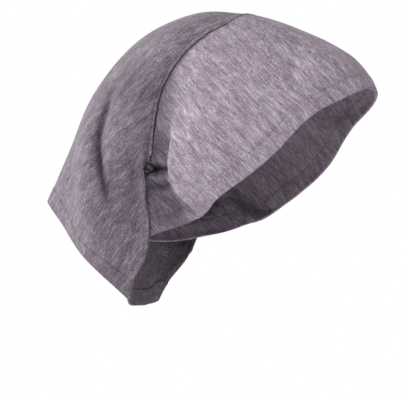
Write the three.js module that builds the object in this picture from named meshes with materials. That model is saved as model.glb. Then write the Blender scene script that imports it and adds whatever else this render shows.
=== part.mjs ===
// Underscarf cap in jersey: a front panel stretched over the head, a loose back panel that hangs
// open below, the sewn ridge between the two, and a folded hem round each opening.
// Millimetres, +Z up, the face toward -Y. The origin is where the top of a head meets the crown.
import * as THREE from 'three';

// Driving sizes
const HEAD_LENGTH = 187;        // forehead to the back of the head
const HEAD_WIDTH = 150;
const HEAD_HEIGHT = 176;        // top of the crown down to the nape edge
const TAIL_LENGTH = 250;        // back panel, over its top from the crown seam to its corner
const CLOTH = 1.2;
const HEM_CLOTH = 2.2;          // the same cloth turned under and stitched
const FACE_HEM_WIDTH = 13;
const TAIL_HEM_WIDTH = 14;
const SEAM_WIDTH = 4;
const SEAM_HEIGHT = 2.4;
const EAR_PROUD = 8;            // how far the ear lifts the cloth
const EAR_REACH = 27;           // from the middle of the ear back to the rim of its bulge
const GAP = 0.3;                // between neighbouring pieces

// The head that stretches the front panel: its outline from the side, turn by turn about the
// middle of the head, as shares of the head's length and height
const MIDDLE = { forward: 0.134, down: 0.5 };
const FLATNESS = 2.4;           // 2 is an ellipse, more is flatter at the sides
const WIDEST = -0.12;           // where along the head, as a share of its length from the middle
const TAPER = 0.52;             // how fast it narrows from there to the forehead and the nape
const HEAD_OUTLINE = [
  { turn: 0, reach: 0.505 },
  { turn: 14, reach: 0.518 },
  { turn: 32, reach: 0.497 },
  { turn: 45, reach: 0.468 },
  { turn: 60, reach: 0.448 },
  { turn: 76, reach: 0.453 },
  { turn: 93, reach: 0.481 },
  { turn: 105, reach: 0.518 },
  { turn: 133, reach: 0.512 },
  { turn: 165, reach: 0.478 },
  { turn: 190, reach: 0.495 },
  { turn: 211, reach: 0.578 },
  { turn: 225, reach: 0.71 },
  { turn: 270, reach: 0.74 },
  { turn: 320, reach: 0.66 },
];

// Lines on the head seen from the side, as shares of its length forward of the origin and of its
// height below the crown: the face edge from the forehead to the nape, and the crown seam
const FACE_EDGE = [
  { forward: 0.636, down: 0.366 },
  { forward: 0.528, down: 0.455 },
  { forward: 0.369, down: 0.625 },
  { forward: 0.134, down: 0.832 },
  { forward: 0.032, down: 0.915 },
  { forward: -0.227, down: 0.994 },
  { forward: -0.369, down: 1.011 },
];
const CROWN_SEAM = [
  { forward: 0.139, down: 0.026 },
  { forward: 0.07, down: 0.114 },
  { forward: -0.088, down: 0.256 },
  { forward: -0.173, down: 0.409 },
  { forward: -0.207, down: 0.568 },
  { forward: -0.238, down: 0.7 },
  { forward: -0.369, down: 0.807 },
];

// The back panel's sections, from just behind the seam to the hem. Each place gives the share of
// the half width, then the shares of the tail's length behind and below the middle of the seam
const TAIL_SECTIONS = [
  { crown: [0, 0.168, -0.016], upper: [0.76, 0.18, 0.07], side: [0.96, 0.29, 0.318],
    lower: [0.85, 0.27, 0.526], neck: [0.62, 0.356, 0.57], nape: [0, 0.408, 0.582] },
  { crown: [0, 0.368, 0.05], upper: [0.75, 0.34, 0.182], side: [0.98, 0.352, 0.402],
    lower: [0.81, 0.268, 0.582], neck: [0.6, 0.364, 0.626], nape: [0, 0.412, 0.642] },
  { crown: [0, 0.532, 0.214], upper: [0.62, 0.488, 0.35], side: [0.96, 0.408, 0.53],
    lower: [0.74, 0.27, 0.654], neck: [0.54, 0.364, 0.71], nape: [0, 0.406, 0.722] },
  { crown: [0, 0.628, 0.402], upper: [0.48, 0.556, 0.522], side: [0.84, 0.456, 0.646],
    lower: [0.61, 0.296, 0.742], neck: [0.42, 0.37, 0.798], nape: [0, 0.398, 0.806] },
  { crown: [0, 0.706, 0.56], upper: [0.33, 0.608, 0.645], side: [0.56, 0.506, 0.746],
    lower: [0.45, 0.376, 0.872], neck: [0.22, 0.39, 0.892], nape: [0, 0.394, 0.894] },
];

// Soft folds of the back panel: three places each, as shares round the panel from the crown and
// along it from the seam, then the depth inward and the half width as shares of the tail's length
const TAIL_FOLDS = [
  { from: [0.09, 0.45], over: [0.12, 0.62], to: [0.2, 0.86], depth: 0.022, width: 0.034 },
  { from: [0.2, 0.2], over: [0.24, 0.5], to: [0.3, 0.85], depth: 0.014, width: 0.036 },
  { from: [0.91, 0.4], over: [0.87, 0.64], to: [0.79, 0.9], depth: 0.02, width: 0.036 },
  { from: [0.79, 0.22], over: [0.75, 0.55], to: [0.71, 0.84], depth: 0.014, width: 0.036 },
];

// The hollow behind each ear and the gathers at the low end of the seam, in the front panel: the
// same, along it from the face edge
const GATHERS = [
  { from: [0.37, 1], over: [0.385, 0.7], to: [0.41, 0.1], depth: 0.032, width: 0.056 },
  { from: [0.358, 1], over: [0.36, 0.95], to: [0.362, 0.74], depth: 0.02, width: 0.026 },
  { from: [0.395, 1], over: [0.39, 0.9], to: [0.38, 0.6], depth: 0.012, width: 0.022 },
  { from: [0.642, 1], over: [0.64, 0.95], to: [0.638, 0.74], depth: 0.02, width: 0.026 },
  { from: [0.605, 1], over: [0.61, 0.9], to: [0.62, 0.6], depth: 0.012, width: 0.022 },
  { from: [0.63, 1], over: [0.615, 0.7], to: [0.59, 0.1], depth: 0.032, width: 0.056 },
];

// How finely the pieces are divided
const AROUND = 64;
const FRONT_ROWS = 10;
const BACK_ROWS = 13;
const HEM_ROWS = 2;
const RIDGE_SIDES = 8;
const INSET_STEPS = 18;

const HALF_WIDTH = HEAD_WIDTH / 2;

// Reach of the head's outline in one direction, smoothly between the rows of its table
function outlineReach(turn) {
  const rows = HEAD_OUTLINE;
  const count = rows.length;
  const bearing = THREE.MathUtils.euclideanModulo(turn, 360);
  let i = count - 1;
  while (i > 0 && rows[i].turn > bearing) i -= 1;
  const row = (k) => {
    const index = THREE.MathUtils.euclideanModulo(k, count);
    return { turn: rows[index].turn + 360 * Math.floor(k / count), reach: rows[index].reach };
  };
  const [before, a, b, after] = [row(i - 1), row(i), row(i + 1), row(i + 2)];
  const span = b.turn - a.turn;
  const t = (bearing - a.turn) / span;
  const slopeA = span * (b.reach - before.reach) / (b.turn - before.turn);
  const slopeB = span * (after.reach - a.reach) / (after.turn - a.turn);
  return (2 * t ** 3 - 3 * t ** 2 + 1) * a.reach + (t ** 3 - 2 * t ** 2 + t) * slopeA
    + (3 * t ** 2 - 2 * t ** 3) * b.reach + (t ** 3 - t ** 2) * slopeB;
}

// A place on the head is a direction: forward, up and out to the side. Its length is 1, and its
// sideways share is 0 along the middle of the head
function headDirection(row, onMiddle) {
  const forward = row.forward - MIDDLE.forward;
  const up = MIDDLE.down - row.down;
  const turn = THREE.MathUtils.radToDeg(Math.atan2(up, forward));
  const share = onMiddle ? 1 : Math.hypot(forward, up) / outlineReach(turn);
  const flat = new THREE.Vector2(forward, up).setLength(share);
  return new THREE.Vector3(flat.x, flat.y, Math.sqrt(Math.max(0, 1 - share ** 2)));
}

function headPoint(direction) {
  const share = Math.min(1, Math.hypot(direction.x, direction.y));
  const turn = Math.atan2(direction.y, direction.x);
  const reach = share * outlineReach(THREE.MathUtils.radToDeg(turn));
  const forward = Math.cos(turn) * reach;
  const up = Math.sin(turn) * reach;
  const out = (1 - share ** FLATNESS) ** (1 / FLATNESS) * (1 - TAPER * (forward - WIDEST) ** 2);
  return new THREE.Vector3(
    HALF_WIDTH * out * Math.sign(direction.z),
    -HEAD_LENGTH * (MIDDLE.forward + forward),
    HEAD_HEIGHT * (up - MIDDLE.down),
  );
}

// A closed loop over the head, alike on both sides, from a line seen from the side. It starts at
// the middle of the forehead or crown and goes round by the right ear
function headLoop(line) {
  const last = line.length - 1;
  const right = line.map((row, i) => headDirection(row, i === 0 || i === last));
  right.forEach((direction) => { direction.z *= -1; });
  const left = right.slice(1, last).reverse().map((d) => new THREE.Vector3(d.x, d.y, -d.z));
  return new THREE.CatmullRomCurve3([...right, ...left], true);
}

function tailLoop(section) {
  const place = ([spread, back, down], side) => new THREE.Vector3(
    side * spread * HALF_WIDTH,
    back * TAIL_LENGTH - CROWN_SEAM[0].forward * HEAD_LENGTH,
    -down * TAIL_LENGTH - CROWN_SEAM[0].down * HEAD_HEIGHT,
  );
  const { crown, upper, side, lower, neck, nape } = section;
  const right = [crown, upper, side, lower, neck, nape].map((share) => place(share, -1));
  const left = [neck, lower, side, upper].map((share) => place(share, 1));
  return new THREE.CatmullRomCurve3([...right, ...left], true);
}

// The ear under the cloth: steep behind and below, running out slowly toward the face. Its reach
// ahead, above and below is a multiple of its reach behind; its lift is full out to the core and
// gone at the rim
const EAR = { forward: 0.02, down: 0.69, ahead: 2.6, above: 2.2, below: 1.25, core: 0.55, rim: 1.35 };
function earLift(point) {
  const ahead = -point.y - EAR.forward * HEAD_LENGTH;
  const above = point.z + EAR.down * HEAD_HEIGHT;
  const along = ahead / (ahead > 0 ? EAR.ahead * EAR_REACH : EAR_REACH);
  const across = above / (above > 0 ? EAR.above * EAR_REACH : EAR.below * EAR_REACH);
  const distance = Math.hypot(along, across);
  return EAR_PROUD * (1 - THREE.MathUtils.smoothstep(distance, EAR.core, EAR.rim));
}

// Smooth surfaces of the two panels, by share round from the crown and share along
const faceLoop = headLoop(FACE_EDGE);
const seamLoop = headLoop(CROWN_SEAM);
const tailLoops = TAIL_SECTIONS.map(tailLoop);

const wrap = (around) => THREE.MathUtils.euclideanModulo(around, 1);

function frontSurface(around, along) {
  const start = faceLoop.getPointAt(wrap(around)).normalize();
  const end = seamLoop.getPointAt(wrap(around)).normalize();
  const angle = start.angleTo(end);
  const direction = start.multiplyScalar(Math.sin((1 - along) * angle) / Math.sin(angle));
  direction.addScaledVector(end, Math.sin(along * angle) / Math.sin(angle));
  const point = headPoint(direction.normalize());
  const lift = earLift(point) * Math.min(1, Math.abs(point.x) / (HALF_WIDTH / 2));
  point.x += Math.sign(point.x) * lift;
  return point;
}

function backSurface(around, along) {
  const seam = front(around, 1);
  const points = [seam, ...tailLoops.map((loop) => loop.getPointAt(wrap(around)))];
  return new THREE.CatmullRomCurve3(points).getPoint(along);
}

// Outward direction of a surface, from points a small share to each side
const NEAR = 0.008;
function outward(surface, around, along) {
  const round = surface(around + NEAR, along).sub(surface(around - NEAR, along));
  const after = surface(around, Math.min(1, along + NEAR));
  const length = after.sub(surface(around, Math.max(0, along - NEAR)));
  return length.cross(round).normalize();
}

// The middle line of a fold, with its strength running out at both ends
const FOLD_STEPS = 16;
function foldLine(surface, fold) {
  return Array.from({ length: FOLD_STEPS + 1 }, (_, i) => {
    const t = i / FOLD_STEPS;
    const bend = [(1 - t) ** 2, 2 * t * (1 - t), t ** 2];
    const share = (k) => bend[0] * fold.from[k] + bend[1] * fold.over[k] + bend[2] * fold.to[k];
    return { point: surface(share(0), share(1)), strength: Math.sqrt(Math.sin(Math.PI * t)) };
  });
}

function foldDepth(point, line, fold) {
  const width = fold.width * TAIL_LENGTH;
  const presses = line.map((place) => {
    const distance = place.point.distanceTo(point) / width;
    return place.strength * Math.exp(-(distance ** 2));
  });
  return Math.max(...presses) * fold.depth * TAIL_LENGTH;
}

// The same surface with its folds pressed in
function folded(surface, folds) {
  const lines = folds.map((fold) => foldLine(surface, fold));
  return (around, along) => {
    const point = surface(around, along);
    const depth = folds.reduce((sum, fold, k) => sum + foldDepth(point, lines[k], fold), 0);
    return point.addScaledVector(outward(surface, around, along), -depth);
  };
}

// The share along a panel at which the cloth lies a given width from the nearby stretch of one
// of its two edges
const NEARBY = 0.03;
function inset(surface, edge, width) {
  const count = 8 * AROUND;
  const edgePoints = Array.from({ length: count }, (_, i) => surface(i / count, edge));
  return (around) => {
    const line = edgePoints.filter((_, i) => Math.abs(wrap(i / count - around + 0.5) - 0.5) < NEARBY);
    let [near, far] = [edge, 0.5];
    for (let i = 0; i < INSET_STEPS; i += 1) {
      const middle = (near + far) / 2;
      const point = surface(around, middle);
      const inside = line.every((place) => place.distanceTo(point) > width);
      if (inside) far = middle;
      else near = middle;
    }
    return far;
  };
}

// Points and outward directions in rows between two edges of a band
function grid(surface, rows, start, end) {
  return Array.from({ length: AROUND }, (_, j) => {
    const around = j / AROUND;
    const from = start(around);
    const to = end(around);
    return Array.from({ length: rows + 1 }, (__, i) => {
      const along = from + (to - from) * i / rows;
      return { point: surface(around, along), out: outward(surface, around, along) };
    });
  });
}

// A closed band of cloth round the cap: an outer face, an inner face and two edges
function band(places, proud, thickness) {
  const rows = places[0].length;
  const positions = [];
  const push = (offset) => places.flat().forEach(({ point, out }) => {
    const moved = point.clone().addScaledVector(out, offset);
    positions.push(moved.x, moved.y, moved.z);
  });
  push(proud);
  push(proud - thickness);
  const outer = (j, i) => (j % AROUND) * rows + i;
  const inner = (j, i) => AROUND * rows + outer(j, i);
  const faces = [];
  const quad = (a, b, c, d) => faces.push(a, b, c, a, c, d);
  for (let j = 0; j < AROUND; j += 1) {
    for (let i = 0; i < rows - 1; i += 1) {
      quad(outer(j, i), outer(j, i + 1), outer(j + 1, i + 1), outer(j + 1, i));
      quad(inner(j, i), inner(j + 1, i), inner(j + 1, i + 1), inner(j, i + 1));
    }
    quad(outer(j, 0), outer(j + 1, 0), inner(j + 1, 0), inner(j, 0));
    quad(outer(j, rows - 1), inner(j, rows - 1), inner(j + 1, rows - 1), outer(j + 1, rows - 1));
  }
  return mesh(positions, faces);
}

// The surfaces above put the crown's outer face at height 0. The origin is on its inner face
function mesh(positions, faces) {
  const geometry = new THREE.BufferGeometry();
  geometry.setAttribute('position', new THREE.Float32BufferAttribute(positions, 3));
  geometry.translate(0, 0, CLOTH);
  geometry.setIndex(faces);
  geometry.computeVertexNormals();
  return geometry;
}

// Jersey in a heathered mauve grey
function jersey(name, colour) {
  return new THREE.MeshStandardMaterial({ name, color: colour, roughness: 0.95, metalness: 0 });
}
const PANEL_COLOUR = 0x9d909e;
const HEM_COLOUR = 0x96889a;
const SEAM_COLOUR = 0xa296a4;

const front = folded(frontSurface, GATHERS);
const back = folded(backSurface, TAIL_FOLDS);
const HEM_PROUD = (HEM_CLOTH - CLOTH) / 2;

// Front panel, between the face hem and the seam
const SEAM_ROOM = SEAM_WIDTH / 2 + GAP;
function frontPanel() {
  const start = inset(front, 0, FACE_HEM_WIDTH + GAP);
  const end = inset(front, 1, SEAM_ROOM);
  return band(grid(front, FRONT_ROWS, start, end), 0, CLOTH);
}

// Hem round the head opening: forehead, temples, below the ears and nape
function faceHem() {
  const end = inset(front, 0, FACE_HEM_WIDTH);
  return band(grid(front, HEM_ROWS, () => 0, end), HEM_PROUD, HEM_CLOTH);
}

// Back panel, from the seam to its own hem
function backPanel() {
  const start = inset(back, 0, SEAM_ROOM);
  const end = inset(back, 1, TAIL_HEM_WIDTH + GAP);
  return band(grid(back, BACK_ROWS, start, end), 0, CLOTH);
}

// Hem round the open end of the back panel
function tailHem() {
  const start = inset(back, 1, TAIL_HEM_WIDTH);
  return band(grid(back, HEM_ROWS, start, () => 1), HEM_PROUD, HEM_CLOTH);
}

// The seam at one place: its middle, the way it runs, and the square way across each panel
function seamPlace(around) {
  const middle = front(around, 1);
  const run = front(around + NEAR, 1).sub(front(around - NEAR, 1)).normalize();
  const square = (way) => way.addScaledVector(run, -way.dot(run)).normalize();
  const ahead = square(middle.clone().sub(front(around, 1 - NEAR)));
  const behind = square(back(around, NEAR).sub(middle));
  return { middle, run, across: ahead.add(behind).normalize() };
}

// Ridge of turned cloth along the crown seam, round in section
function crownSeam() {
  const positions = [];
  for (let j = 0; j < AROUND; j += 1) {
    const { middle, run, across } = seamPlace(j / AROUND);
    const out = across.clone().cross(run).normalize();
    for (let k = 0; k < RIDGE_SIDES; k += 1) {
      const angle = 2 * Math.PI * (k + 0.5) / RIDGE_SIDES;
      const point = middle.clone().addScaledVector(across, SEAM_WIDTH / 2 * Math.cos(angle));
      point.addScaledVector(out, SEAM_HEIGHT / 2 * Math.sin(angle));
      positions.push(point.x, point.y, point.z);
    }
  }
  const corner = (j, k) => (j % AROUND) * RIDGE_SIDES + (k % RIDGE_SIDES);
  const faces = [];
  for (let j = 0; j < AROUND; j += 1) {
    for (let k = 0; k < RIDGE_SIDES; k += 1) {
      const [a, b, c, d] = [corner(j, k), corner(j + 1, k), corner(j + 1, k + 1), corner(j, k + 1)];
      faces.push(a, b, c, a, c, d);
    }
  }
  return mesh(positions, faces);
}

const group = new THREE.Group();
function add(name, geometry, material) {
  const piece = new THREE.Mesh(geometry, material);
  piece.name = name;
  group.add(piece);
}

add('front_panel', frontPanel(), jersey('front jersey', PANEL_COLOUR));
add('face_hem', faceHem(), jersey('hem jersey', HEM_COLOUR));
add('back_panel', backPanel(), jersey('back jersey', PANEL_COLOUR));
add('tail_hem', tailHem(), jersey('hem jersey', HEM_COLOUR));
add('crown_seam', crownSeam(), jersey('seam jersey', SEAM_COLOUR));

export default group;
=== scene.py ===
"""Jersey underscarf cap in its worn shape. Metres, +Z up, the head opening toward -Y."""
import math

import bpy
import numpy as np
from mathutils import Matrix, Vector, kdtree


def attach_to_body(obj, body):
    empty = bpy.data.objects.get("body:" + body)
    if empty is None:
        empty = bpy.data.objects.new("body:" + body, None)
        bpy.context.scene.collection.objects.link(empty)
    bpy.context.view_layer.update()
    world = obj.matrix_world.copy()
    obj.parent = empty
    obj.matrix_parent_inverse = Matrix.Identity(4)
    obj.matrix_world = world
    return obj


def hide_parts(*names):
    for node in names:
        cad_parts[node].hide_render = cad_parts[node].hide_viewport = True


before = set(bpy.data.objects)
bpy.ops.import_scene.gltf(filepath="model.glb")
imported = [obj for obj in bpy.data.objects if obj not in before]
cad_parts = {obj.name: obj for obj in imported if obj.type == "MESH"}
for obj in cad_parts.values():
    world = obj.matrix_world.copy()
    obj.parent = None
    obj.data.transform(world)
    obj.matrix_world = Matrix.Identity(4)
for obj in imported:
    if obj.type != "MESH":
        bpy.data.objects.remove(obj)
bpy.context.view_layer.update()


# Front panel.
# One piece of heathered cotton jersey, knitted as a tube and pulled tight over the forehead,
# crown and ears. The ears lift it, and it gathers where it turns in under the back panel.
# Sizes are in millimetres
HEAD_LENGTH = 187.0
HEAD_WIDTH = 150.0
HEAD_HEIGHT = 176.0
CLOTH = 1.2
HEM_CLOTH = 2.2
FACE_HEM_WIDTH = 13.0
GAP = 0.3
# how far the panel stops short of the seam, and the groove where the seam pulls it in
SEAM_ROOM = 1.3
GROOVE = 2.4
GROOVE_FROM_SEAM = 2.2
GROOVE_WIDTH = 2.2
# how finely the cloth is divided round the cap and along a panel
COLUMNS = 480
PANEL_ROWS = 92
# the worn cap's girth, along which the knit runs over the crown
KNIT_ROUND = 450.0

# the worn form: its middle, how flat its sides are, where it is widest and how it narrows from
# there, and its outline from the side, by the turn up from straight ahead
MIDDLE_FORWARD, MIDDLE_DOWN = 0.134, 0.5
FLATNESS = 2.4
WIDEST, TAPER = -0.12, 0.52
OUTLINE_TURNS = [0, 14, 32, 45, 60, 76, 93, 105, 133, 165, 190, 211, 225, 270, 320]
OUTLINE_REACH = [
    0.505, 0.518, 0.497, 0.468, 0.448, 0.453, 0.481, 0.518,
    0.512, 0.478, 0.495, 0.578, 0.71, 0.74, 0.66,
]
# the panel's two edges: forward and down, as shares of that form's length and height
FACE_EDGE = [
    (0.636, 0.366), (0.528, 0.455), (0.369, 0.625), (0.134, 0.832),
    (0.032, 0.915), (-0.227, 0.994), (-0.369, 1.011),
]
CROWN_SEAM = [
    (0.139, 0.026), (0.07, 0.114), (-0.088, 0.256), (-0.173, 0.409),
    (-0.207, 0.568), (-0.238, 0.7), (-0.369, 0.807),
]
# where the ears lift the cloth, how far, and how far round them
EAR = {"forward": 3.7, "height": -121.5, "proud": 8.0}
EAR_REACH = {"behind": 27.0, "below": 34.0, "above": 44.0, "ahead": 70.0}


def spline_part(before, a, b, after, share):
    """Centripetal spline between a and b"""
    def knot(p, q):
        return np.maximum(np.linalg.norm(q - p, axis=-1, keepdims=True), 1e-9) ** 0.5

    k0, k1, k2 = knot(before, a), knot(a, b), knot(b, after)
    slope_a = ((a - before) / k0 - (b - before) / (k0 + k1) + (b - a) / k1) * k1
    slope_b = ((b - a) / k1 - (after - a) / (k1 + k2) + (after - b) / k2) * k1
    t = share
    return (
        (2 * t**3 - 3 * t**2 + 1) * a + (t**3 - 2 * t**2 + t) * slope_a
        + (3 * t**2 - 2 * t**3) * b + (t**3 - t**2) * slope_b
    )


def closed_line(points, count):
    """Evenly spaced places round a closed line"""
    points = np.array(points, float)
    t = np.linspace(0, 1, 64, endpoint=False)[:, None]
    parts = []
    for i in range(len(points)):
        four = [points[(i + k) % len(points)] for k in (-1, 0, 1, 2)]
        parts.append(spline_part(four[0], four[1], four[2], four[3], t))
    line = np.concatenate(parts + [points[:1]])
    steps = np.linalg.norm(np.diff(line, axis=0), axis=1)
    run = np.concatenate([[0], np.cumsum(steps)])
    at = np.linspace(0, run[-1], count, endpoint=False)
    return np.stack([np.interp(at, run, line[:, k]) for k in range(3)], axis=1)


def outline_reach(turn):
    """How far the outline lies from the middle, by the angle in degrees"""
    turns = np.array(OUTLINE_TURNS, float)
    reach = np.array(OUTLINE_REACH)
    count = len(turns)
    turn = np.mod(turn, 360)
    i = np.searchsorted(turns, turn, side="right") - 1

    def row(k):
        return turns[k % count] + 360 * (k // count), reach[k % count]

    (t0, r0), (t1, r1), (t2, r2), (t3, r3) = row(i - 1), row(i), row(i + 1), row(i + 2)
    span = t2 - t1
    t = (turn - t1) / span
    slope_a = span * (r2 - r0) / (t2 - t0)
    slope_b = span * (r3 - r1) / (t3 - t1)
    return (
        (2 * t**3 - 3 * t**2 + 1) * r1 + (t**3 - 2 * t**2 + t) * slope_a
        + (3 * t**2 - 2 * t**3) * r2 + (t**3 - t**2) * slope_b
    )


def head_line(rows):
    """A closed line over the form: from the middle in front, round the right ear to the nape"""
    right = []
    for k, (ahead, down) in enumerate(rows):
        forward, up = ahead - MIDDLE_FORWARD, MIDDLE_DOWN - down
        reach = float(outline_reach(math.degrees(math.atan2(up, forward))))
        length = math.hypot(forward, up)
        share = 1.0 if k in (0, len(rows) - 1) else length / reach
        side = -math.sqrt(max(0.0, 1 - share**2))
        right.append((forward / length * share, up / length * share, side))
    left = [(a, b, -c) for a, b, c in reversed(right[1:-1])]
    line = closed_line(right + left, COLUMNS)
    return line / np.linalg.norm(line, axis=1, keepdims=True)


def smooth(low, high, value):
    """0 below low, 1 above high, and a soft step between them"""
    t = np.clip((value - low) / (high - low), 0, 1)
    return t * t * (3 - 2 * t)


def head_point(direction):
    """A place on the worn form in millimetres, from a direction"""
    share = np.minimum(1, np.hypot(direction[..., 0], direction[..., 1]))
    turn = np.arctan2(direction[..., 1], direction[..., 0])
    reach = share * outline_reach(np.degrees(turn))
    forward, up = np.cos(turn) * reach, np.sin(turn) * reach
    flat = (1 - share**FLATNESS) ** (1 / FLATNESS)
    out = flat * (1 - TAPER * (forward - WIDEST) ** 2)
    return np.stack([
        HEAD_WIDTH / 2 * out * np.sign(direction[..., 2]),
        -HEAD_LENGTH * (MIDDLE_FORWARD + forward),
        HEAD_HEIGHT * (up - MIDDLE_DOWN) + CLOTH,
    ], axis=-1)


def ear_lift(place):
    """Steep behind and below the ear, running out slowly toward the face"""
    ahead = -place[..., 1] - EAR["forward"]
    above = place[..., 2] - EAR["height"]
    along = ahead / np.where(ahead > 0, EAR_REACH["ahead"], EAR_REACH["behind"])
    across = above / np.where(above > 0, EAR_REACH["above"], EAR_REACH["below"])
    far = np.hypot(along, across)
    # 1 on the side behind and below, 0 on the side toward the face
    steep = smooth(-0.35, 0.35, -(along + across) / np.maximum(far, 1e-6))
    soft = 1 - smooth(0.3, 1.35, far)
    firm = 1 - smooth(0.82, 1.16, far)
    return EAR["proud"] * (soft + (firm - soft) * steep)


face_line = head_line(FACE_EDGE)
seam_line = head_line(CROWN_SEAM)


def front_form(along):
    """The front panel's smooth form, by the share from the face edge to the seam"""
    start, end = face_line[:, None, :], seam_line[:, None, :]
    angle = np.arccos(np.clip(np.sum(start * end, axis=-1), -1, 1))
    mixed = (
        start * (np.sin((1 - along) * angle) / np.sin(angle))[..., None]
        + end * (np.sin(along * angle) / np.sin(angle))[..., None]
    )
    place = head_point(mixed / np.linalg.norm(mixed, axis=-1, keepdims=True))
    side = np.minimum(1, np.abs(place[..., 0]) / (HEAD_WIDTH / 4))
    place[..., 0] += np.sign(place[..., 0]) * ear_lift(place) * side
    return place


def outward(grid):
    """Directions square to a grid of places, away from the inside"""
    round_way = np.roll(grid, -1, axis=0) - np.roll(grid, 1, axis=0)
    length_way = np.gradient(grid, axis=1)
    out = np.cross(length_way, round_way)
    return out / np.maximum(np.linalg.norm(out, axis=-1, keepdims=True), 1e-9)


# folds lie on the sides: none within the first distance of the middle, full from the second on
FOLDS_APART = (8, 24)
# what is left of a fold past the ends of its line
FOLD_TRACE = 0.15


def press(grid, line, ahead, behind, fade):
    """How strongly a place lies on a fold, seen from the side: 1 on its line, 0 well off it.
    ahead and behind are the half widths on its two sides, fade the run-out at its ends"""
    place = np.stack([-grid[..., 1], grid[..., 2]], axis=-1)
    best = np.full(place.shape[:-1], 1e9)
    signed = np.zeros(place.shape[:-1])
    reach = np.zeros(place.shape[:-1])
    run = 0.0
    for (a, b) in zip(line[:-1], line[1:]):
        a, b = np.array(a, float), np.array(b, float)
        way = b - a
        length = np.linalg.norm(way)
        way = way / length
        t = np.clip(np.sum((place - a) * way, axis=-1), 0, length)
        off = place - a - t[..., None] * way
        far = np.linalg.norm(off, axis=-1)
        near = far < best
        best = np.where(near, far, best)
        cross = way[0] * off[..., 1] - way[1] * off[..., 0]
        signed = np.where(near, cross, signed)
        reach = np.where(near, run + t, reach)
        run += length
    width = np.where(signed > 0, ahead, behind)
    ends = smooth(0, fade, reach + 0.001) * smooth(0, fade, run - reach + 0.001)
    aside = smooth(*FOLDS_APART, np.abs(grid[..., 0]))
    return np.exp(-(best / width) ** 2) * (FOLD_TRACE + (1 - FOLD_TRACE) * ends) * aside


# the gathers where the panel turns in: line of (ahead, height), depth inward, half widths, fade
GATHERS = [
    ([(-25, -92), (-30, -106), (-32, -120), (-31, -136), (-27, -146)], 9.0, 9.0, 7.0, 22),
    ([(-36, -134), (-35, -146), (-34, -158), (-33, -170)], 10.0, 12.0, 16.0, 12),
    ([(-30, -143), (-21, -151), (-12, -157), (-2, -162), (8, -168)], 6.0, 6.0, 16.0, 14),
    ([(-48, -124.8), (-38, -125), (-31, -125.6)], 8.5, 2.6, 2.6, 4),
    ([(-46, -119.6), (-37, -119.8), (-32, -118)], -3.0, 2.8, 2.4, 4),
    ([(-46, -130), (-38, -130.2), (-31, -131.4), (-24, -133.6)], -3.0, 2.8, 3.2, 7),
    ([(-46, -138), (-38, -138), (-30, -137.6), (-20, -138.6)], 3.4, 3.6, 2.8, 9),
    ([(-44, -146), (-34, -146), (-24, -146.5)], -1.0, 3.6, 3.2, 9),
    ([(-41, -113), (-34, -112.5), (-27, -108)], 1.3, 2.6, 3.0, 8),
    ([(-42, -152), (-30, -152.5), (-18, -153)], 0.8, 3.0, 3.0, 10),
]
# soft waves of the stretched cloth behind and above the ear
SOFT_WAVES = [
    ([(-12, -92), (-20, -102), (-27, -112), (-29, -124)], 1.2, 5.0, 5.0, 10),
    ([(-8, -36), (-2, -42), (4, -46)], 0.5, 2.4, 2.4, 6),
    ([(-12, -42), (-6, -48), (2, -52)], 0.5, 2.4, 2.4, 6),
    ([(70, -26), (88, -40), (100, -52)], 0.7, 6.0, 6.0, 14),
    ([(60, -95), (40, -112), (22, -128)], 0.4, 6.0, 6.0, 16),
]


def sunk(grid, folds):
    """The same grid with its folds pressed in"""
    depth = sum(deep * press(grid, line, *sizes) for line, deep, *sizes in folds)
    return grid - outward(grid) * depth[..., None]


def front_place(along):
    """The front panel's outer face with its gathers"""
    return sunk(front_form(along), GATHERS + SOFT_WAVES)


def apart_from(grid, line):
    """How far each place lies from a closed line, in millimetres"""
    tree = kdtree.KDTree(len(line))
    for k, place in enumerate(line):
        tree.insert(place, k)
    tree.balance()
    far = [tree.find(place)[2] for place in grid.reshape(-1, 3)]
    return np.array(far).reshape(grid.shape[:-1])


def share_at(place, edge, width):
    """For each column, the share along at which the cloth is that far from one of its edges,
    evened out a little round the cap"""
    steps = np.linspace(0, 0.42, 85)
    along = np.abs(edge - steps)[None, :] * np.ones((COLUMNS, 1))
    grid = place(along)
    rim = grid[:, 0, :]
    found = np.zeros(COLUMNS)
    for j in range(COLUMNS):
        far = np.linalg.norm(grid[j][:, None, :] - rim[None, :, :], axis=-1).min(axis=1)
        far = np.maximum.accumulate(far)
        found[j] = np.interp(width, far, steps)
    kernel = np.hanning(9)[1:-1]
    padded = np.concatenate([found[-3:], found, found[:3]])
    found = np.convolve(padded, kernel / kernel.sum(), mode="valid")
    return np.abs(edge - found)[:, None]


def between(start, end, rows):
    """Evenly spaced shares from one edge to another, for each column"""
    return start + (end - start) * np.linspace(0, 1, rows)[None, :]


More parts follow.
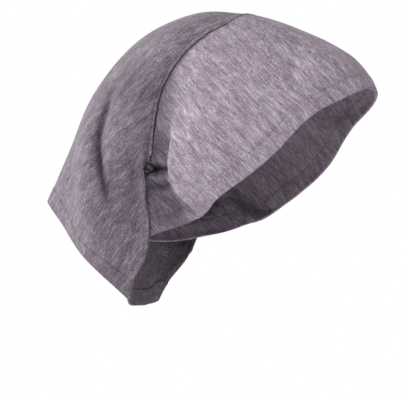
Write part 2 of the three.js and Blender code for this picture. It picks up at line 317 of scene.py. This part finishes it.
def fit_grain(table):
    """Two smooth maps of the side view whose lines follow the knit: across it and along it.
    The table's rows are ahead, height and the knit's angle in degrees above the level"""
    def terms(f, z):
        return [f, z, f * f, f * z, z * z, f**3, f * f * z, f * z * z, z**3]

    def slopes(f, z):
        zero = 0 * f
        return (
            [1 + zero, zero, 2 * f, z, zero, 3 * f * f, 2 * f * z, z * z, zero],
            [zero, 1 + zero, zero, f, 2 * z, zero, f * f, 2 * f * z, 3 * z * z],
        )

    f, z, angle = np.array(table, float).T
    f, z, angle = f / 100, z / 100, np.radians(angle)
    by_f, by_z = (np.stack(side, axis=1) for side in slopes(f, z))
    along = np.stack([np.cos(angle), np.sin(angle)], axis=1)
    maps = []
    for way in (np.stack([-along[:, 1], along[:, 0]], axis=1), along):
        # keeps the maps from bending more than the table asks
        stiffness = 0.05 * np.diag([0, 0, 1, 1, 1, 2, 2, 2, 2])
        system = np.concatenate([by_f, by_z, stiffness])
        goal = np.concatenate([way[:, 0], way[:, 1], np.zeros(len(stiffness))])
        maps.append(np.linalg.lstsq(system, goal, rcond=None)[0])

    def grain(place):
        f, z = -place[..., 1] / 100, place[..., 2] / 100
        values = np.stack(terms(f, z), axis=-1)
        return 100 * values @ maps[0], 100 * values @ maps[1]

    return grain


# the knit of the front panel runs square to the face edge and flattens over the crown
front_grain = fit_grain([
    (23, -22, -35), (75, -38, -40), (43, -47, -42), (65, -70, -46), (39, -86, -46),
    (102, -57, -50), (97, -73, -51), (-10, -62, -47), (-11, -90, -48), (2, -113, -47),
    (-7, -134, -46), (33, -114, -47), (8, -145, -46), (-30, -135, -47), (115, -60, -52),
])


def knit_place(ring, grain):
    """Where each place lies in the knit: across its streaks, along them and, over the crown and
    at the nape where the side view shows nothing of it, round the cap. In metres"""
    share = np.arange(COLUMNS) / COLUMNS
    share = np.where(share < 0.5, share, share - 1)
    crown, nape = 1 - smooth(0.02, 0.09, np.abs(share)), smooth(0.4, 0.47, np.abs(share))
    gain = 0.1 + 0.9 * crown + 0.9 * nape
    order = np.argsort(share)
    total = np.cumsum(gain[order]) / COLUMNS * KNIT_ROUND
    round_way = np.empty(COLUMNS)
    round_way[order] = total - total[COLUMNS // 2]
    u, v = grain(ring)
    return np.stack([u, v, round_way[:, None] + 0 * u], axis=-1).reshape(-1, 3) / 1000


# painted shade: the colour is darkened on the shaded side of each gather, in the hollow behind the ear
# and in the hole where the panel turns in: line of (ahead, height), strength, half widths, fade
FRONT_PAINTED_SHADE = [
    ([(-20, -36), (-32, -52), (-37, -66), (-38, -82), (-34, -98)], 0.42, 30.0, 16.0, 26),
    ([(-41, -84), (-39, -104), (-37, -126), (-36, -140), (-32, -154), (-18, -166),
      (0, -174)], 0.74, 16.0, 20.0, 26),
    ([(-48, -125), (-38, -125.2), (-33, -125.8)], 1.9, 3.2, 3.0, 3),
    ([(-46, -138), (-36, -138.2), (-24, -138)], 0.4, 2.6, 2.4, 6),
]


def attach(data, name, values):
    """Keeps a number or a vector for each point of a mesh, for its material"""
    vector = values.shape[-1] == 3
    data.attributes.new(name, "FLOAT_VECTOR" if vector else "FLOAT", "POINT")
    flat = values.astype(np.float32).ravel()
    data.attributes[name].data.foreach_set("vector" if vector else "value", flat)


def painted_shade_of(ring, painted_shades):
    """How strongly painted shade darkens each place, 0 to 1"""
    depth = sum(strength * press(ring, line, *sizes) for line, strength, *sizes in painted_shades)
    return np.clip(depth, 0, 1).reshape(-1, 1)


def skin(name, ring, grain, painted_shades, backward=False):
    """A closed mesh from a ring of places for each column round the cap. backward is for rings
    that run the other way about"""
    index = np.arange(ring.shape[0] * ring.shape[1]).reshape(ring.shape[:2])
    a, b = index, np.roll(index, -1, axis=1)
    c, d = np.roll(b, -1, axis=0), np.roll(a, -1, axis=0)
    faces = np.stack([a, d, c, b] if backward else [a, b, c, d], axis=-1).reshape(-1, 4)
    data = bpy.data.meshes.new(name)
    data.from_pydata((ring.reshape(-1, 3) / 1000).tolist(), [], faces.tolist())
    data.shade_smooth()
    attach(data, "knit", knit_place(ring, grain))
    attach(data, "shade", painted_shade_of(ring, painted_shades))
    piece = bpy.data.objects.new(name, data)
    bpy.context.scene.collection.objects.link(piece)
    return piece


# the steps of a rim's rounding, in degrees, and how far it bulges as a share of half the cloth
RIM_TURNS = (60, 30, 0, -30, -60)
RIM_BULGE = 0.6


def shell(name, outer, inner, grain, painted_shades, marks=None):
    """A closed wall of cloth from an outer and an inner grid, with rounded rims. marks say where
    a hem's stitches lie"""
    def rim(last):
        """The rounding at the first row (0) or the last (-1)"""
        far = 0 if last == 0 else -1
        ring = (1, 0) if last == 0 else (-2, -1)
        top, low = outer[:, far], inner[:, far]
        way = outer[:, far] - outer[:, ring[0]]
        way = way / np.maximum(np.linalg.norm(way, axis=-1, keepdims=True), 1e-9)
        half = np.linalg.norm(top - low, axis=-1, keepdims=True) / 2
        middle, up = (top + low) / 2, (top - low) / 2
        turns = [math.radians(t) for t in RIM_TURNS]
        return [middle + up * math.sin(t) + way * half * RIM_BULGE * math.cos(t) for t in turns]

    rows = [outer[:, k] for k in range(outer.shape[1])]
    rows += rim(-1)
    rows += [inner[:, k] for k in reversed(range(inner.shape[1]))]
    rows += rim(0)[::-1]
    piece = skin(name, np.stack(rows, axis=1), grain, painted_shades)
    if marks is not None:
        rims = len(RIM_TURNS)
        marks = np.concatenate([
            marks, np.repeat(marks[:, -1:], rims, axis=1), marks[:, ::-1],
            np.repeat(marks[:, :1], rims, axis=1),
        ], axis=1).reshape(-1, 3)
        attach(piece.data, "hem", marks)
    return piece


def to_linear(hex_colour):
    """sRGB hex to the linear colour that a shader socket takes"""
    parts = [int(hex_colour[k:k + 2], 16) / 255 for k in (1, 3, 5)]
    return tuple([c / 12.92 if c < 0.04045 else ((c + 0.055) / 1.055) ** 2.4 for c in parts] + [1])


def put(tree, kind, settings=None, **sockets):
    """Adds a node with its settings; each socket gets a value or a link"""
    made = tree.nodes.new(kind)
    for key, value in (settings or {}).items():
        setattr(made, key, value)
    for key, value in sockets.items():
        socket = made.inputs[int(key[1:])] if key[0] == "i" and key[1:].isdigit() else made.inputs[key]
        if isinstance(value, bpy.types.NodeSocket):
            tree.links.new(value, socket)
        else:
            socket.default_value = value
    return made


# the length of one stitch of the hems, about the usual 2.5 mm
STITCH = 2.6


def heathered_jersey(name, dark, middle, light, pink, stitched=False):
    """Cotton single jersey, knitted from a marl of dyed and undyed fibre. Its face is matt, with
    a weak gloss, a slight fuzz and short streaks along the wales. A real stitch is about 0.4 mm
    wide, too fine to show, so the finest streaks are drawn 0.55 mm wide and 1.6 mm long"""
    cloth = bpy.data.materials.new(name)
    cloth.use_nodes = True
    tree = cloth.node_tree
    tree.nodes.clear()
    knit = put(tree, "ShaderNodeAttribute", {"attribute_name": "knit"}).outputs["Vector"]

    def streaks(width, length, detail, shift):
        """A noise drawn out along the knit, with its sizes in millimetres"""
        scaled = put(tree, "ShaderNodeMapping", Vector=knit, Location=(shift, 2 * shift, 3 * shift),
                     Scale=(1000 / width, 1000 / length, 1000 / width)).outputs["Vector"]
        return put(tree, "ShaderNodeTexNoise", {"noise_dimensions": "3D"}, Vector=scaled,
                   Scale=1.0, Detail=detail, Roughness=0.6).outputs["Fac"]

    broad = streaks(width=4.5, length=24.0, detail=2.0, shift=12.4)
    medium = streaks(width=0.7, length=7.5, detail=1.0, shift=7.7)
    fine = streaks(width=0.55, length=1.6, detail=1.0, shift=1.3)
    single = {"data_type": "FLOAT"}
    marl = put(tree, "ShaderNodeMix", single, i0=0.5, i2=medium, i3=fine).outputs[0]
    marl = put(tree, "ShaderNodeMix", single, i0=0.26, i2=marl, i3=broad).outputs[0]
    ramp = put(tree, "ShaderNodeValToRGB", Fac=marl)
    stops = ramp.color_ramp.elements
    stops[0].position, stops[0].color = 0.36, to_linear(dark)
    stops[1].position, stops[1].color = 0.64, to_linear(light)
    stops.new(0.5).color = to_linear(middle)
    # a few fibres are dyed pinker than the rest
    tufts = streaks(width=0.9, length=4.5, detail=1.0, shift=21.0)
    fleck = put(tree, "ShaderNodeMapRange", Value=tufts,
                **{"From Min": 0.58, "From Max": 0.72, "To Min": 0.0, "To Max": 0.55}).outputs[0]
    tinted = put(tree, "ShaderNodeMix", {"data_type": "RGBA"}, i0=fleck,
                 i6=ramp.outputs["Color"], i7=to_linear(pink)).outputs[2]
    painted_shade_blend = {"data_type": "RGBA", "blend_type": "MULTIPLY"}
    # painted shade: the shade attribute darkens the colour toward #86868f on the shaded sides of the
    # folds and in the hollows
    shade = put(tree, "ShaderNodeAttribute", {"attribute_name": "shade"}).outputs["Fac"]
    tinted = put(tree, "ShaderNodeMix", painted_shade_blend, i0=shade, i6=tinted,
                 i7=to_linear("#86868f")).outputs[2]
    height = put(tree, "ShaderNodeMix", single, i0=0.4, i2=fine, i3=medium).outputs[0]
    if stitched:
        # each stitch pulls the cloth in, with painted shade in the dip it makes, and between two it
        # comes up a little
        hem = put(tree, "ShaderNodeAttribute", {"attribute_name": "hem"}).outputs["Vector"]
        apart = put(tree, "ShaderNodeSeparateXYZ", Vector=hem)
        times, less = {"operation": "MULTIPLY"}, {"operation": "SUBTRACT"}
        turns = put(tree, "ShaderNodeMath", times, i0=apart.outputs["Y"],
                    i1=2 * math.pi / STITCH).outputs[0]
        wave = put(tree, "ShaderNodeMath", {"operation": "SINE"}, i0=turns).outputs[0]
        pull = put(tree, "ShaderNodeMapRange", Value=wave,
                   **{"From Min": -0.2, "From Max": 0.5, "To Min": 0.25, "To Max": 1.0}).outputs[0]
        sewn = put(tree, "ShaderNodeMath", times, i0=apart.outputs["X"], i1=pull).outputs[0]
        shadow = put(tree, "ShaderNodeMath", times, i0=sewn, i1=0.5).outputs[0]
        tinted = put(tree, "ShaderNodeMix", painted_shade_blend, i0=shadow, i6=tinted,
                     i7=to_linear("#6f6272")).outputs[2]
        height = put(tree, "ShaderNodeMath", less, i0=height, i1=sewn).outputs[0]
    bump = put(tree, "ShaderNodeBump", Height=height, Strength=0.14, Distance=0.0005)
    shader = put(tree, "ShaderNodeBsdfPrincipled", Roughness=0.92, Normal=bump.outputs["Normal"],
                 **{"Base Color": tinted, "Sheen Weight": 0.12, "Sheen Roughness": 0.5,
                    "Specular IOR Level": 0.2})
    put(tree, "ShaderNodeOutputMaterial", Surface=shader.outputs["BSDF"])
    return cloth


def dress(piece, cloth, node):
    """Gives a piece its cloth, and puts it in the place of its CAD node"""
    piece.data.materials.append(cloth)
    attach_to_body(piece, "root")
    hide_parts(node)


panel_start = share_at(front_place, 0, FACE_HEM_WIDTH + GAP)
panel_end = share_at(front_place, 1, SEAM_ROOM)
front_grid = front_place(between(panel_start, panel_end, PANEL_ROWS))
seam_middle = front_place(np.ones((COLUMNS, 1)) * np.linspace(0.98, 1, 4))[:, -1]
# the seam is pulled flat over the crown, and stands up from there down
from_crown = np.minimum(np.arange(COLUMNS), COLUMNS - np.arange(COLUMNS)) / COLUMNS
seam_pull = smooth(0.05, 0.2, from_crown)
from_seam = apart_from(front_grid, seam_middle) - GROOVE_FROM_SEAM
groove = GROOVE * np.exp(-(from_seam / GROOVE_WIDTH) ** 2)
groove = groove * (0.1 + 0.9 * seam_pull[:, None])
front_grid = front_grid - outward(front_grid) * groove[..., None]
front_panel = shell(
    "front_jersey_panel", front_grid, front_grid - CLOTH * outward(front_grid), front_grain,
    FRONT_PAINTED_SHADE)
dress(front_panel, heathered_jersey(
    "cotton jersey front", "#6a5e6d", "#978a98", "#c7bec9", "#a68894"),
    "front_panel")


# Face hem.
# The front panel's own edge turned under once and sewn down, all round the head opening: over
# the forehead, past the temples and ears, and across the nape.
# how far it stands proud, and how deep its stitches pull
HEM_SHOWS = 0.45
STITCH_DIP = 0.45
HEM_ROWS = 30
# as shares of a hem's width: where the stitches run, how wide they dip and how wide they show
STITCH_LINE = 0.9
DIP_SPREAD, STITCH_SPREAD = 0.03, 0.035

hem_end = share_at(front_place, 0, FACE_HEM_WIDTH)
hem_grid = front_place(between(0 * hem_end, hem_end, HEM_ROWS))
hem_out = outward(hem_grid)
hem_share = np.linspace(0, 1, HEM_ROWS)[None, :, None]
soft_edge = HEM_SHOWS * (1 - 0.9 * smooth(0.86, 1.0, hem_share))
stitch_dip = STITCH_DIP * np.exp(-((hem_share - STITCH_LINE) / DIP_SPREAD) ** 2)


def hem_marks(grid, shares, row):
    """Where the stitches lie on a hem, and the run along it in millimetres, fitted to a whole
    number of stitches"""
    steps = np.linalg.norm(np.roll(grid[:, 0], -1, axis=0) - grid[:, 0], axis=-1)
    run = np.concatenate([[0], np.cumsum(steps)[:-1]])
    run = run * round(steps.sum() / STITCH) * STITCH / steps.sum()
    line = np.exp(-((shares - row) / STITCH_SPREAD) ** 2)
    ones = np.ones(grid.shape[:2])
    return np.stack([line * ones, run[:, None] * ones, 0 * ones], axis=-1)


face_hem = shell(
    "face_hem_jersey", hem_grid + hem_out * (soft_edge - stitch_dip),
    hem_grid - hem_out * (HEM_CLOTH - HEM_SHOWS), front_grain, FRONT_PAINTED_SHADE,
    hem_marks(hem_grid, hem_share[..., 0], STITCH_LINE))
dress(face_hem, heathered_jersey(
    "cotton jersey turned hem", "#685d6c", "#968997", "#c4bbc6", "#a68692", stitched=True),
    "face_hem")


# Back panel.
# A wide tube of the same jersey, sewn to the front panel over the crown and behind the ears. It
# holds the hair and hangs loose, so it falls in long folds and narrows to its open end.
TAIL_LENGTH = 250.0
TAIL_HEM_WIDTH = 14.0
# how far the panel stops short of the seam, and how it swells up beside it
BACK_ROOM = 2.0
ROLL = 0.7
ROLL_FROM_SEAM, ROLL_WIDTH = 2.6, 3.0

# share of the half width, then shares of the tail's length behind and below the seam's middle:
# crown, upper, side, lower, neck, nape
TAIL_SECTIONS = [
    [(0, 0.168, -0.016), (0.76, 0.18, 0.07), (0.96, 0.29, 0.318),
     (0.85, 0.27, 0.526), (0.62, 0.356, 0.57), (0, 0.408, 0.582)],
    [(0, 0.368, 0.05), (0.75, 0.34, 0.182), (0.98, 0.352, 0.402),
     (0.81, 0.268, 0.582), (0.6, 0.364, 0.626), (0, 0.412, 0.642)],
    [(0, 0.532, 0.214), (0.62, 0.488, 0.35), (0.96, 0.408, 0.53),
     (0.74, 0.27, 0.654), (0.54, 0.364, 0.71), (0, 0.406, 0.722)],
    [(0, 0.628, 0.402), (0.48, 0.556, 0.522), (0.84, 0.456, 0.646),
     (0.61, 0.296, 0.742), (0.42, 0.37, 0.798), (0, 0.398, 0.806)],
    [(0, 0.706, 0.56), (0.33, 0.608, 0.645), (0.56, 0.506, 0.746),
     (0.45, 0.376, 0.872), (0.22, 0.39, 0.892), (0, 0.394, 0.894)],
]


def tail_line(section):
    """A closed line round the back panel: from its top, round the right side to its underside"""
    seam_ahead, seam_down = CROWN_SEAM[0]

    def place(row, side):
        return (
            side * row[0] * HEAD_WIDTH / 2,
            row[1] * TAIL_LENGTH - seam_ahead * HEAD_LENGTH,
            CLOTH - row[2] * TAIL_LENGTH - seam_down * HEAD_HEIGHT,
        )

    right = [place(row, -1) for row in section]
    left = [place(row, 1) for row in section[-2:0:-1]]
    return closed_line(right + left, COLUMNS)


tail_lines = [tail_line(section) for section in TAIL_SECTIONS]
# the folds, as for the gathers: line of (ahead, height), depth inward, half widths, fade
TAIL_FOLDS = [
    ([(-68, -50), (-74, -64), (-80, -80), (-82, -95), (-80, -110), (-75, -128), (-70, -145),
      (-66, -166)], 5.0, 13.0, 5.0, 34),
    ([(-75, -62), (-79, -74), (-81.5, -85), (-82.5, -97), (-81, -109), (-77, -122), (-73, -134)],
     2.2, 3.4, 2.4, 22),
    ([(-56, -98), (-54.5, -115), (-53, -135), (-52, -155), (-54, -175), (-57, -190)],
     4.6, 9.0, 6.0, 34),
    ([(-92, -66), (-96, -95), (-92, -125), (-84, -152), (-76, -178)], -4.0, 15.0, 16.0, 34),
    ([(-46, -84), (-46, -110), (-47, -140), (-50, -172)], 2.5, 10.0, 12.0, 30),
    ([(-68, -105), (-66, -130), (-65, -154), (-69, -182)], -3.2, 6.0, 7.0, 30),
    ([(-24, -34), (-40, -50), (-52, -72), (-58, -92)], 1.0, 6.0, 8.0, 24),
    ([(-100, -150), (-92, -165), (-82, -182)], 1.6, 4.0, 5.0, 16),
    ([(-48, -120), (-46, -145), (-47, -170)], -1.4, 4.0, 4.0, 24),
]

# painted shade on the shaded side of those folds and in the hollow under the seam, as for the front
# panel
TAIL_PAINTED_SHADE = [
    ([(-73, -58), (-78, -72), (-81, -84), (-82, -97), (-80, -110), (-75, -128), (-70, -146),
      (-67, -162)], 0.85, 4.6, 2.8, 24),
    ([(-80, -84), (-79, -100), (-74, -122), (-68, -144)], 0.24, 10.0, 4.0, 24),
    ([(-38, -34), (-56, -62), (-62, -86)], 0.36, 18.0, 15.0, 26),
    ([(-54, -104), (-53, -125), (-51, -146), (-53, -164), (-57, -186)], 0.4, 5.5, 4.0, 24),
]


def back_form(along):
    """The back panel's smooth form, by the share from the seam to the hem"""
    knots = [seam_middle] + tail_lines
    knots = [2 * knots[0] - knots[1]] + knots + [2 * knots[-1] - knots[-2]]
    knots = np.stack(knots, axis=1)
    parts = len(tail_lines)
    at = np.clip(along, 0, 1) * parts
    part = np.minimum(at.astype(int), parts - 1)
    column = np.arange(COLUMNS)[:, None]
    four = [knots[column, part + k] for k in range(4)]
    return spline_part(four[0], four[1], four[2], four[3], (at - part)[..., None])


def back_place(along):
    """The back panel's outer face with its folds"""
    return sunk(back_form(along), TAIL_FOLDS)


# the knit of the back panel follows its fall, from the crown down to the open end
back_grain = fit_grain([
    (-14, -30, 34), (-30, -46, 40), (-43, -59, 44), (-68, -80, 46), (-104, -115, 47),
    (-67, -133, 48), (-115, -145, 47), (-86, -185, 50), (-44, -112, 50), (-45, -147, 52),
    (-59, -192, 54), (-58, -96, 47), (-130, -150, 46), (-60, -220, 54), (-90, -60, 43),
])

tail_start = share_at(back_place, 0, BACK_ROOM)
tail_end = share_at(back_place, 1, TAIL_HEM_WIDTH + GAP)
tail_grid = back_place(between(tail_start, tail_end, PANEL_ROWS))
from_roll = apart_from(tail_grid, seam_middle) - ROLL_FROM_SEAM
swell = ROLL * np.exp(-(from_roll / ROLL_WIDTH) ** 2)
swell = swell * (0.3 + 0.7 * seam_pull[:, None])
tail_grid = tail_grid + outward(tail_grid) * swell[..., None]
back_panel = shell(
    "back_jersey_panel", tail_grid, tail_grid - CLOTH * outward(tail_grid), back_grain,
    TAIL_PAINTED_SHADE)
# the back panel's colours are darker than the front panel's: partly the loose knit, which looks darker
# than the stretched front, and partly painted shade over the whole tail
dress(back_panel, heathered_jersey(
    "cotton jersey back", "#4d444f", "#746a75", "#a298a3", "#876b75"),
    "back_panel")


# Tail hem.
# The open end of the back panel, turned under and sewn with a twin needle. It keeps the end
# from curling and hangs straight across.
TAIL_HEM_SHOWS = 0.5
TAIL_STITCH_LINE = 0.1
TAIL_STITCH_DIP = 0.5

tail_hem_start = share_at(back_place, 1, TAIL_HEM_WIDTH)
tail_hem_grid = back_place(between(tail_hem_start, 1 + 0 * tail_hem_start, HEM_ROWS))
tail_hem_out = outward(tail_hem_grid)
tail_share = np.linspace(0, 1, HEM_ROWS)[None, :, None]
tail_edge = TAIL_HEM_SHOWS * (0.1 + 0.9 * smooth(0, 0.14, tail_share))
tail_dip = TAIL_STITCH_DIP * np.exp(-((tail_share - TAIL_STITCH_LINE) / DIP_SPREAD) ** 2)
tail_hem = shell(
    "tail_hem_jersey", tail_hem_grid + tail_hem_out * (tail_edge - tail_dip),
    tail_hem_grid - tail_hem_out * (HEM_CLOTH - TAIL_HEM_SHOWS), back_grain, TAIL_PAINTED_SHADE,
    hem_marks(tail_hem_grid[:, ::-1], tail_share[..., 0], TAIL_STITCH_LINE))
# the tail hem takes the back panel's darker colours, partly from the looser knit and partly painted
# shade
dress(tail_hem, heathered_jersey(
    "cotton jersey tail hem", "#4d444f", "#726874", "#a0959f", "#866973", stitched=True),
    "tail_hem")


# Crown seam.
# The two panels' edges sewn face to face and overlocked, a soft cord of cloth. It lies a little
# toward the back panel and half sunk between the two, so a dark groove shows beside it in front.
LIP_WIDTH = 3.6
LIP_HEIGHT = 3.2
LIP_SHIFT = 0.5
LIP_SINK = 0.3
LIP_SIDES = 20
# the share of each panel next to the seam that gives the seam its direction
EDGE_STEP = 0.012

front_end = front_place(np.array([[1 - EDGE_STEP, 1.0]]) * np.ones((COLUMNS, 1)))
back_start = back_form(np.array([[0.0, EDGE_STEP]]) * np.ones((COLUMNS, 1)))
seam_run = np.roll(seam_middle, -1, axis=0) - np.roll(seam_middle, 1, axis=0)
seam_run /= np.linalg.norm(seam_run, axis=-1, keepdims=True)


def square(way):
    """The part of a direction that is square to the seam's run, at length 1"""
    way = way - seam_run * np.sum(way * seam_run, axis=-1, keepdims=True)
    return way / np.linalg.norm(way, axis=-1, keepdims=True)


seam_across = square(
    square(front_end[:, 1] - front_end[:, 0]) + square(back_start[:, 1] - back_start[:, 0]))
seam_out = np.cross(seam_across, seam_run)
# two waves round the cap, so the height isn't even
round_cap = np.arange(COLUMNS) * 2 * math.pi
wander = np.sin(round_cap * 37 / COLUMNS)
wander += 0.6 * np.sin(round_cap * 61 / COLUMNS + 1.0)
lip_height = LIP_HEIGHT * (1 + 0.06 * wander) * (0.4 + 0.6 * seam_pull)
lip = []
for k in range(LIP_SIDES):
    turn = 2 * math.pi * (k + 0.5) / LIP_SIDES
    aside = LIP_WIDTH / 2 * math.cos(turn) + LIP_SHIFT
    rise = lip_height[:, None] / 2 * math.sin(turn) - LIP_SINK
    lip.append(seam_middle + seam_across * aside + seam_out * rise)
crown_seam = skin("crown_seam_lip", np.stack(lip, axis=1), back_grain, TAIL_PAINTED_SHADE, backward=True)
# the seam takes the back panel's darker colours, partly from the looser knit and partly painted shade
dress(crown_seam, heathered_jersey(
    "cotton jersey seam", "#4f4651", "#766c78", "#a49aa5", "#886c76"),
    "crown_seam")


# Floor, light and camera.
# A plain pale floor well below the cap, and soft studio light: the main lamp close to the
# camera's side and higher, weaker ones above and on the far side, and one behind for the tail.
# The camera sees white all round, which gives the cloth only a faint glow.
FLOOR_HEIGHT, FLOOR_REACH, FLOOR_SIDES = -0.62, 3, 96

floor_data = bpy.data.meshes.new("floor")
floor_ring = [2 * math.pi * k / FLOOR_SIDES for k in range(FLOOR_SIDES)]
floor_data.from_pydata(
    [(FLOOR_REACH * math.cos(t), FLOOR_REACH * math.sin(t), FLOOR_HEIGHT) for t in floor_ring],
    [], [list(range(FLOOR_SIDES))])
floor = bpy.data.objects.new("floor", floor_data)
bpy.context.scene.collection.objects.link(floor)
paper = bpy.data.materials.new("matt white paper")
paper.use_nodes = True
paper.node_tree.nodes.clear()
matt = put(paper.node_tree, "ShaderNodeBsdfDiffuse", Color=to_linear("#f2f1f2"))
pale = put(paper.node_tree, "ShaderNodeEmission", Color=to_linear("#e9e8ea"), Strength=1.0)
in_view = put(paper.node_tree, "ShaderNodeMath", {"operation": "MULTIPLY"}, i1=0.8,
              i0=put(paper.node_tree, "ShaderNodeLightPath").outputs["Is Camera Ray"])
mixed_paper = put(paper.node_tree, "ShaderNodeMixShader", i0=in_view.outputs[0],
                  i1=matt.outputs[0], i2=pale.outputs[0])
put(paper.node_tree, "ShaderNodeOutputMaterial", Surface=mixed_paper.outputs[0])
floor_data.materials.append(paper)


def aimed(name, data, target, azimuth, elevation, distance):
    """Sets a lamp or the camera at that angle round a place, looking at it. Azimuth 0 is in
    front of the head opening, and -90 is the wearer's right"""
    holder = bpy.data.objects.new(name, data)
    a, e = math.radians(azimuth), math.radians(elevation)
    back = Vector((math.sin(a) * math.cos(e), -math.cos(a) * math.cos(e), math.sin(e)))
    holder.location = Vector(target) + back * distance
    holder.rotation_euler = back.to_track_quat("Z", "Y").to_euler()
    bpy.context.scene.collection.objects.link(holder)
    return holder


def lamp(name, azimuth, elevation, distance, size, power):
    """A square soft lamp that looks at the middle of the cap"""
    light = bpy.data.lights.new(name, "AREA")
    light.size, light.energy = size, power
    aimed(name, light, (0, 0.01, -0.1), azimuth, elevation, distance)


lamp("key softbox", -77, 26, 1.7, 0.4, 19.0)
lamp("top softbox", -40, 72, 1.9, 0.8, 6)
lamp("rear softbox", -172, 12, 1.8, 0.4, 28)
lamp("far softbox", 110, 35, 2.2, 1.2, 8)

world = bpy.data.worlds.new("white room")
bpy.context.scene.world = world
world.use_nodes = True
room = world.node_tree
room.nodes.clear()
seen = put(room, "ShaderNodeBackground", Color=(1, 1, 1, 1), Strength=1.0)
glow = put(room, "ShaderNodeBackground", Color=(1, 1, 1, 1), Strength=0.17)
path = put(room, "ShaderNodeLightPath")
mixed = put(room, "ShaderNodeMixShader", i0=path.outputs["Is Camera Ray"],
            i1=glow.outputs[0], i2=seen.outputs[0])
put(room, "ShaderNodeOutputWorld", Surface=mixed.outputs[0])

# about 20 degrees forward of the right side, and a little from below
CAMERA_AIM = (0.0012, 0.0191, -0.1452)
camera_data = bpy.data.cameras.new("camera")
camera_data.lens, camera_data.sensor_width = 148.15, 36
bpy.context.scene.camera = aimed("camera", camera_data, CAMERA_AIM, -70, -3, 1.3)
bpy.context.scene.view_settings.view_transform = "Standard"
